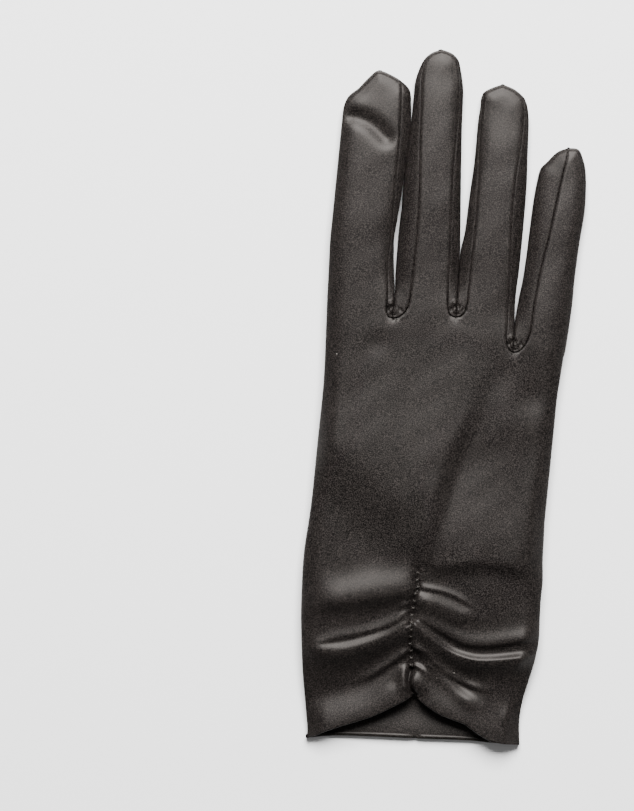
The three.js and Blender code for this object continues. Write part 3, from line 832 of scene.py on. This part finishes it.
def strip_paths(heights, finger, inner, outer, side):
    """Lines across a fourchette: from the back's seam over the finger's side to the palm's seam."""
    t = np.linspace(0, 1, 14)
    t = (1 - (1 - t) ** 1.6)[None, :, None]
    spots = inner[:, None] + t * (outer - inner)[:, None]
    flat = spots.reshape(-1, 2)
    tops = heights.top(flat, finger).reshape(len(inner), -1)
    unders = heights.under(flat, finger).reshape(len(inner), -1)
    paths = []
    for row, top, under in zip(spots, tops, unders):
        high = np.column_stack([row, top])
        low = np.column_stack([row, under])[::-1]
        middle = (high[-1] + low[0]) / 2 - np.array([side * FOLD_INWARDS, 0, 0])
        path = np.concatenate([high, [middle], low])
        steps = np.linalg.norm(np.diff(path, axis=0), axis=1) + 1e-6
        far = np.concatenate([[0.0], np.cumsum(steps)])
        wanted = np.linspace(0, far[-1], STRIP_COLUMNS)
        paths.append(np.column_stack([np.interp(wanted, far, path[:, i]) for i in range(3)]))
    return paths


def make_thumb(heights):
    """The thumb: a flat sleeve that opens upwards into the palm's oval hole."""
    outline = walk(curve(np.array(THUMB_OUTLINE + THUMB_OUTLINE[:1])), np.linspace(0, 1, 181))[:-1]
    tilt = math.radians(OVAL_TILT)
    turn = np.linspace(0, 2 * math.pi, 90, endpoint=False)
    long_way = (OVAL_HALF_LENGTH - 0.6) * np.cos(turn)
    short_way = (OVAL_HALF_WIDTH - 0.6) * np.sin(turn)
    oval = np.column_stack(
        [
            OVAL_CENTRE[0] + long_way * math.sin(tilt) + short_way * math.cos(tilt),
            OVAL_CENTRE[1] + long_way * math.cos(tilt) - short_way * math.sin(tilt),
        ]
    )
    step = 1.7
    xs, ys = np.meshgrid(np.arange(-41, 36, step), np.arange(-86, 16, step))
    grid = np.column_stack([xs.ravel(), ys.ravel()])
    ring = np.concatenate([outline, outline[:1]])
    oval_ring = np.concatenate([oval, oval[:1]])
    from_edge = nearest(grid, ring)[0]
    from_oval = nearest(grid, oval_ring)[0]
    inner = grid[within(grid, ring) & (from_edge > 0.9) & (from_oval > 0.8)]
    spots = np.concatenate([outline, oval, inner])
    edges = [(i, (i + 1) % len(outline)) for i in range(len(outline))]
    base = len(outline)
    edges += [(base + i, base + (i + 1) % len(oval)) for i in range(len(oval))]
    found = delaunay_2d_cdt([Vector(s) for s in spots], edges, [], 0, 1e-5)
    flat = np.array([tuple(v) for v in found[0]])
    triangles = [t for t in found[2] if len(t) == 3]
    centres = np.array([flat[list(t)].mean(0) for t in triangles])
    kept = within(centres, ring)
    open_top = within(centres, oval_ring)
    distance = nearest(flat, ring)[0]
    middle = 1.5
    half_edge = 0.3
    uneven = 0.12
    swollen = swell(distance, 5.5)
    lower = (middle - half_edge) * (1 - swollen) + uneven * noise(flat, 11, 9) * swollen
    upper = middle + half_edge + swollen + uneven * noise(flat, 9, 11) * swollen
    cloth = Cloth()
    below = cloth.add(flat, np.maximum(lower, 0.02))
    above = cloth.add(flat, upper)
    for triangle, inside, mouth in zip(triangles, kept, open_top):
        if inside:
            cloth.face([below[i] for i in triangle[::-1]])
            if not mouth:
                cloth.face([above[i] for i in triangle])
    count = len(outline)
    for i in range(count):
        j = (i + 1) % count
        cloth.face((below[i], below[j], above[j], above[i]))
    return cloth


def within(spots, ring):
    """Which spots lie inside a closed ring."""
    odd = np.zeros(len(spots), bool)
    for a, b in zip(ring, ring[1:]):
        spans = (a[1] > spots[:, 1]) != (b[1] > spots[:, 1])
        if a[1] == b[1]:
            continue
        crossing = a[0] + (spots[:, 1] - a[1]) / (b[1] - a[1]) * (b[0] - a[0])
        odd ^= spans & (spots[:, 0] < crossing)
    return odd


def dress(name, cloth, thickness, nodes, material):
    """Makes a piece: gives its mesh a finish, its place on the frame and, if it is cloth, a wall."""
    piece = bpy.data.objects.new(name, cloth.mesh(name))
    bpy.context.scene.collection.objects.link(piece)
    if thickness:
        wall_of_cloth = piece.modifiers.new("Wall", "SOLIDIFY")
        wall_of_cloth.thickness = thickness
        wall_of_cloth.offset = -1
        wall_of_cloth.use_rim = True
    piece.data.materials.append(material)
    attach(piece, "root")
    if nodes:
        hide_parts(*nodes)


# Stitches

# In millimetres: from one stitch to the next, how long each is, how thick its thread is, how far its
# ends stand off the cloth, and how far its middle is bowed up from them.
STITCH_SPACING = 2.3
STITCH_LENGTH = 1.5
THREAD_RADIUS = 0.09
THREAD_LIFT = 0.05
STITCH_BOW = 0.08


def add_stitch(cloth, start, end, rise, radius):
    """One short stitch of thread, bowed up between its two holes."""
    sides = 6
    t = np.linspace(0, 1, 5)
    centre = start + t[:, None] * (end - start)
    centre[:, 2] += rise * np.sin(np.pi * t)
    forward = (end - start) / max(np.linalg.norm(end - start), 1e-9)
    aside = np.cross(forward, [0, 0, 1.0])
    aside /= max(np.linalg.norm(aside), 1e-9)
    upward = np.cross(aside, forward)
    around = np.linspace(0, 2 * math.pi, sides, endpoint=False)
    thick = radius * np.sqrt(np.clip(1 - (2 * t - 1) ** 4, 0.08, 1))
    grid = []
    for middle, wide in zip(centre, thick):
        ring = middle + wide * (np.cos(around)[:, None] * aside + np.sin(around)[:, None] * upward)
        grid.append(cloth.add(ring[:, :2], ring[:, 2]))
    for low, high in zip(grid, grid[1:]):
        for i in range(sides):
            j = (i + 1) % sides
            cloth.face((low[i], low[j], high[j], high[i]))
    cloth.face(tuple(grid[0][::-1]))
    cloth.face(tuple(grid[-1]))


def stitch_line(cloth, heights, line, turn):
    """A row of stitches across a line on the back, at an angle of turn to it."""
    total = lengths(line)[-1]
    count = int(total / STITCH_SPACING)
    shares = (np.arange(count) + 0.5) / count
    spots = walk(line, np.maximum(shares - 0.002, 0))
    run = walk(line, np.minimum(shares + 0.002, 1)) - spots
    run /= np.maximum(np.hypot(*run.T), 1e-9)[:, None]
    normal = np.column_stack([-run[:, 1], run[:, 0]])
    chance = np.random.default_rng(SEED + int(total * 10))
    slant = turn + chance.normal(0, 0.09, count)
    way = run * np.cos(slant)[:, None] + normal * np.sin(slant)[:, None]
    half = STITCH_LENGTH / 2 * chance.uniform(0.85, 1.1, count)[:, None]
    starts = spots - way * half
    ends = spots + way * half
    low, crown, high = (heights.top(places, 0) + THREAD_LIFT for places in (starts, spots, ends))
    for a, b, za, zb, zm in zip(starts, ends, low, high, crown):
        rise = max(zm - (za + zb) / 2, 0) + STITCH_BOW
        add_stitch(cloth, np.append(a, za), np.append(b, zb), rise, THREAD_RADIUS)


def make_stitches(lines, heights):
    """Two slanting rows cross each other along the gathering seam."""
    cloth = Cloth()
    for turn in (0.95, 2.1):
        stitch_line(cloth, heights, lines.gathers, turn)
    return cloth


# Materials

# How many times each pattern repeats in a metre: the satin's grain every 0.3 mm, its faint patches
# every 6 to 9 mm, the cells that may hold a speck of lint every 11 mm, the twist of the thread every
# 0.4 mm and the mottling of the board every 25 mm.
SATIN_GRAIN = (3600, 3300, 3450)
SATIN_PATCHES = (160, 110, 160)
LINT_CELLS = 90.0
THREAD_TWIST = (2600, 2600, 2600)
BOARD_MOTTLING = 40.0


def linear(code):
    """An sRGB hex colour as the linear one, with alpha, that Blender works with."""
    parts = [int(code[i : i + 2], 16) / 255 for i in (1, 3, 5)]
    return [p / 12.92 if p <= 0.04045 else ((p + 0.055) / 1.055) ** 2.4 for p in parts] + [1]


def node(tree, kind, settings=(), **inputs):
    """Adds a node, sets its own settings, then fills or links its inputs."""
    made = tree.nodes.new(kind)
    for name, value in dict(settings).items():
        setattr(made, name, value)
    for name, value in inputs.items():
        numbered = name[0] == "i" and name[1:].isdigit()
        socket = made.inputs[int(name[1:]) if numbered else name.replace("_", " ")]
        if isinstance(value, bpy.types.NodeSocket):
            tree.links.new(value, socket)
        else:
            socket.default_value = value
    return made


def new_material(name):
    """A material with an empty node tree, and that tree."""
    material = bpy.data.materials.new(name)
    material.use_nodes = True
    material.node_tree.nodes.clear()
    return material, material.node_tree


def satin_material(colours, name="black_stretch_satin", gloss_level=0.165):
    """Black stretch satin: warp floats of filament yarn over a spandex ground, so it is near black with
    a soft gloss. Its threads, 0.12 mm apart, are too fine to show and are drawn 0.3 mm apart."""
    material, tree = new_material(name)
    spot = node(tree, "ShaderNodeTexCoord").outputs["Object"]
    threads = node(tree, "ShaderNodeMapping", Vector=spot, Scale=SATIN_GRAIN).outputs[0]
    grain = node(tree, "ShaderNodeTexNoise", Vector=threads, Scale=1.0, Detail=0.0).outputs[0]
    patches = node(tree, "ShaderNodeMapping", Vector=spot, Scale=SATIN_PATCHES).outputs[0]
    drift = node(tree, "ShaderNodeTexNoise", Vector=patches, Scale=1.0, Detail=2.0).outputs[0]
    faint = node(tree, "ShaderNodeMath", {"operation": "MULTIPLY"}, i0=drift, i1=0.1).outputs[0]
    both = node(tree, "ShaderNodeMath", {"operation": "MULTIPLY_ADD"}, i0=grain, i1=0.9, i2=faint)
    tone = node(tree, "ShaderNodeMapRange", Value=both.outputs[0], From_Min=0.42, From_Max=0.7)
    cloth = node(
        tree,
        "ShaderNodeMix",
        {"data_type": "RGBA"},
        i0=tone.outputs[0],
        i6=linear(colours.satin_shade),
        i7=linear(colours.satin_light),
    )
    lint = node(tree, "ShaderNodeTexVoronoi", Vector=spot, Scale=LINT_CELLS).outputs["Distance"]
    speck = node(tree, "ShaderNodeMapRange", Value=lint, From_Min=0.008, From_Max=0.02)
    colour = node(
        tree,
        "ShaderNodeMix",
        {"data_type": "RGBA"},
        i0=speck.outputs[0],
        i6=linear(colours.lint),
        i7=cloth.outputs[2],
    )
    bump = node(tree, "ShaderNodeBump", Height=grain, Strength=0.08, Distance=0.0003)
    gloss = node(
        tree,
        "ShaderNodeMapRange",
        Value=grain,
        From_Min=0.3,
        From_Max=0.7,
        To_Min=0.38,
        To_Max=0.46,
    )
    shader = node(
        tree,
        "ShaderNodeBsdfPrincipled",
        Base_Color=colour.outputs[2],
        Roughness=gloss.outputs[0],
        Normal=bump.outputs[0],
        Specular_IOR_Level=gloss_level,
        Specular_Tint=linear("#fff8f2"),
    )
    node(tree, "ShaderNodeOutputMaterial", Surface=shader.outputs[0])
    return material


def cross_satin_material(colours):
    """The same satin for the fourchettes, which are cut across its floats and so shine a little less."""
    return satin_material(colours, "black_stretch_satin_cross_cut", 0.1)


def thread_material(colours):
    """Polyester sewing thread, twisted: a touch lighter than the satin, with the twist as fine stripes."""
    material, tree = new_material("polyester_sewing_thread")
    spot = node(tree, "ShaderNodeTexCoord")
    turn = node(tree, "ShaderNodeMapping", Vector=spot.outputs["Object"], Scale=THREAD_TWIST)
    twist = node(tree, "ShaderNodeTexNoise", Vector=turn.outputs[0], Scale=1.0, Detail=1.0)
    colour = node(
        tree,
        "ShaderNodeMix",
        {"data_type": "RGBA"},
        i0=twist.outputs[0],
        i6=linear(colours.thread_shade),
        i7=linear(colours.thread_light),
    )
    shader = node(tree, "ShaderNodeBsdfPrincipled", Base_Color=colour.outputs[2], Roughness=0.5)
    node(tree, "ShaderNodeOutputMaterial", Surface=shader.outputs[0])
    return material


def floor_material(colours):
    """A matt painted board: a plain pale grey that takes soft shadows."""
    material, tree = new_material("matt_painted_board")
    spot = node(tree, "ShaderNodeTexCoord")
    place_on_board = spot.outputs["Object"]
    mottle = node(tree, "ShaderNodeTexNoise", Vector=place_on_board, Scale=BOARD_MOTTLING, Detail=2.0)
    tone = linear(colours.floor)
    paler = [min(1.0, c * 1.01) for c in tone]
    colour = node(tree, "ShaderNodeMix", {"data_type": "RGBA"}, i0=mottle.outputs[0], i6=tone, i7=paler)
    shader = node(tree, "ShaderNodeBsdfPrincipled", Base_Color=colour.outputs[2], Roughness=0.9)
    node(tree, "ShaderNodeOutputMaterial", Surface=shader.outputs[0])
    return material


def material_named(name, make, colours):
    return bpy.data.materials.get(name) or make(colours)


# Sizes and colours a user may change


class GloveSizes(bpy.types.PropertyGroup):
    cloth: bpy.props.FloatProperty(
        name="Cloth",
        description="Thickness of the satin",
        default=0.00045,
        subtype="DISTANCE",
        unit="LENGTH",
    )
    hand_height: bpy.props.FloatProperty(
        name="Hand",
        description="Height of the hollow hand",
        default=0.0100,
        subtype="DISTANCE",
        unit="LENGTH",
    )
    finger_height: bpy.props.FloatProperty(
        name="Fingers",
        description="Height of the fingers at their roots",
        default=0.0080,
        subtype="DISTANCE",
        unit="LENGTH",
    )
    gather_depth: bpy.props.FloatProperty(
        name="Gathers",
        description="How deep the gathering seam lies",
        default=0.001,
        subtype="DISTANCE",
        unit="LENGTH",
    )
    seam_depth: bpy.props.FloatProperty(
        name="Seams",
        description="How deep the seams of the fingers lie",
        default=0.00017,
        subtype="DISTANCE",
        unit="LENGTH",
    )


class GloveColours(bpy.types.PropertyGroup):
    satin_shade: bpy.props.StringProperty(
        name="Satin shade", description="The darkest thread of the satin", default="#040303"
    )
    satin_light: bpy.props.StringProperty(
        name="Satin light", description="The lightest thread of the satin", default="#2b2725"
    )
    lint: bpy.props.StringProperty(
        name="Lint", description="Tiny specks on the satin", default="#8d8983"
    )
    thread_shade: bpy.props.StringProperty(
        name="Thread shade", description="Dark side of the sewing thread", default="#1c1917"
    )
    thread_light: bpy.props.StringProperty(
        name="Thread light", description="Light side of the sewing thread", default="#4a443e"
    )
    floor: bpy.props.StringProperty(
        name="Floor", description="The board that the glove lies on", default="#fbfbfb"
    )


def lines_and_heights(context):
    lines = Outlines()
    return lines, Heights(lines, context.scene.glove_sizes)


class GLOVE_OT_trank(bpy.types.Operator):
    """Sews the back, the palm and the faces of the fingers"""

    bl_idname = "glove.trank"
    bl_label = "Trank"

    def execute(self, context):
        lines, heights = lines_and_heights(context)
        satin = material_named("black_stretch_satin", satin_material, context.scene.glove_colours)
        cloth = make_trank(lines, heights)
        dress("trank_satin", cloth, context.scene.glove_sizes.cloth, ["trank"], satin)
        return {"FINISHED"}


class GLOVE_OT_fourchettes(bpy.types.Operator):
    """Sews the forked strips between the fingers"""

    bl_idname = "glove.fourchettes"
    bl_label = "Fourchettes"

    def execute(self, context):
        lines, heights = lines_and_heights(context)
        colours = context.scene.glove_colours
        satin = material_named("black_stretch_satin_cross_cut", cross_satin_material, colours)
        for k, between in enumerate(("index_middle", "middle_ring", "ring_little")):
            cloth = make_fourchette(lines, heights, k)
            name = f"fourchette_{between}"
            dress(f"{name}_satin", cloth, context.scene.glove_sizes.cloth, [name], satin)
        return {"FINISHED"}


class GLOVE_OT_thumb(bpy.types.Operator):
    """Sews the thumb that is folded beneath the palm"""

    bl_idname = "glove.thumb"
    bl_label = "Thumb"

    def execute(self, context):
        _, heights = lines_and_heights(context)
        satin = material_named("black_stretch_satin", satin_material, context.scene.glove_colours)
        dress("thumb_satin", make_thumb(heights), context.scene.glove_sizes.cloth, ["thumb"], satin)
        return {"FINISHED"}


class GLOVE_OT_stitches(bpy.types.Operator):
    """Adds the stitches that show on the back"""

    bl_idname = "glove.stitches"
    bl_label = "Stitches"

    def execute(self, context):
        lines, heights = lines_and_heights(context)
        thread = material_named("polyester_sewing_thread", thread_material, context.scene.glove_colours)
        dress("stitches", make_stitches(lines, heights), 0, [], thread)
        return {"FINISHED"}


class GLOVE_OT_stage(bpy.types.Operator):
    """Sets the floor, the lights and the camera"""

    bl_idname = "glove.stage"
    bl_label = "Stage"

    def execute(self, context):
        colours = context.scene.glove_colours
        side = 4.0
        mesh = bpy.data.meshes.new("floor")
        corners = [(-side, -side, 0), (side, -side, 0), (side, side, 0), (-side, side, 0)]
        mesh.from_pydata(corners, [], [(0, 1, 2, 3)])
        floor = bpy.data.objects.new("floor", mesh)
        context.scene.collection.objects.link(floor)
        floor.data.materials.append(material_named("matt_painted_board", floor_material, colours))
        add_area_light("key_softbox", spot=(0.05, 1.0, 1.12), size=0.95, power=104.0)
        world = bpy.data.worlds.new("studio")
        context.scene.world = world
        world.use_nodes = True
        tree = world.node_tree
        tree.nodes.clear()
        soft = node(tree, "ShaderNodeBackground", Color=(1, 1, 1, 1), Strength=0.19)
        node(tree, "ShaderNodeOutputWorld", Surface=soft.outputs[0])
        add_camera(context)
        return {"FINISHED"}


def add_area_light(name, spot, size, power):
    light = bpy.data.lights.new(name, "AREA")
    light.shape = "SQUARE"
    light.size = size
    light.energy = power
    holder = bpy.data.objects.new(name, light)
    holder.location = spot
    holder.rotation_euler = (-Vector(spot)).to_track_quat("-Z", "Y").to_euler()
    bpy.context.scene.collection.objects.link(holder)


def add_camera(context):
    """The camera looks straight down, with the glove where it lies in the picture."""
    height = 1.4
    centre = place([(PICTURE_WIDTH / 2, PICTURE_HEIGHT / 2)])[0] * MM
    camera = bpy.data.cameras.new("camera")
    camera.sensor_fit = "VERTICAL"
    camera.sensor_height = 24.0
    seen = PICTURE_HEIGHT / PIXELS_PER_MM * MM
    camera.lens = camera.sensor_height * height / seen
    camera.clip_end = 20
    holder = bpy.data.objects.new("camera", camera)
    holder.location = (centre[0], centre[1], height)
    context.scene.collection.objects.link(holder)
    context.scene.camera = holder


class GLOVE_PT_panel(bpy.types.Panel):
    """Lists the sizes, the colours and the pieces of the glove"""

    bl_idname = "GLOVE_PT_panel"
    bl_label = "Satin dress glove"
    bl_space_type = "VIEW_3D"
    bl_region_type = "UI"
    bl_category = "Glove"

    def draw(self, context):
        layout = self.layout
        for group in (context.scene.glove_sizes, context.scene.glove_colours):
            box = layout.box()
            for name in group.bl_rna.properties.keys():
                if name not in ("rna_type", "name"):
                    box.prop(group, name)
        for operator in OPERATORS:
            layout.operator(operator.bl_idname)


OPERATORS = (GLOVE_OT_trank, GLOVE_OT_fourchettes, GLOVE_OT_thumb, GLOVE_OT_stitches, GLOVE_OT_stage)
CLASSES = (GloveSizes, GloveColours, *OPERATORS, GLOVE_PT_panel)


def register():
    for item in CLASSES:
        bpy.utils.register_class(item)
    bpy.types.Scene.glove_sizes = bpy.props.PointerProperty(type=GloveSizes)
    bpy.types.Scene.glove_colours = bpy.props.PointerProperty(type=GloveColours)


def unregister():
    del bpy.types.Scene.glove_colours
    del bpy.types.Scene.glove_sizes
    for item in reversed(CLASSES):
        bpy.utils.unregister_class(item)


def main():
    register()
    bpy.ops.glove.trank()
    bpy.ops.glove.fourchettes()
    bpy.ops.glove.thumb()
    bpy.ops.glove.stitches()
    bpy.ops.glove.stage()


if __name__ == "__main__":
    main()
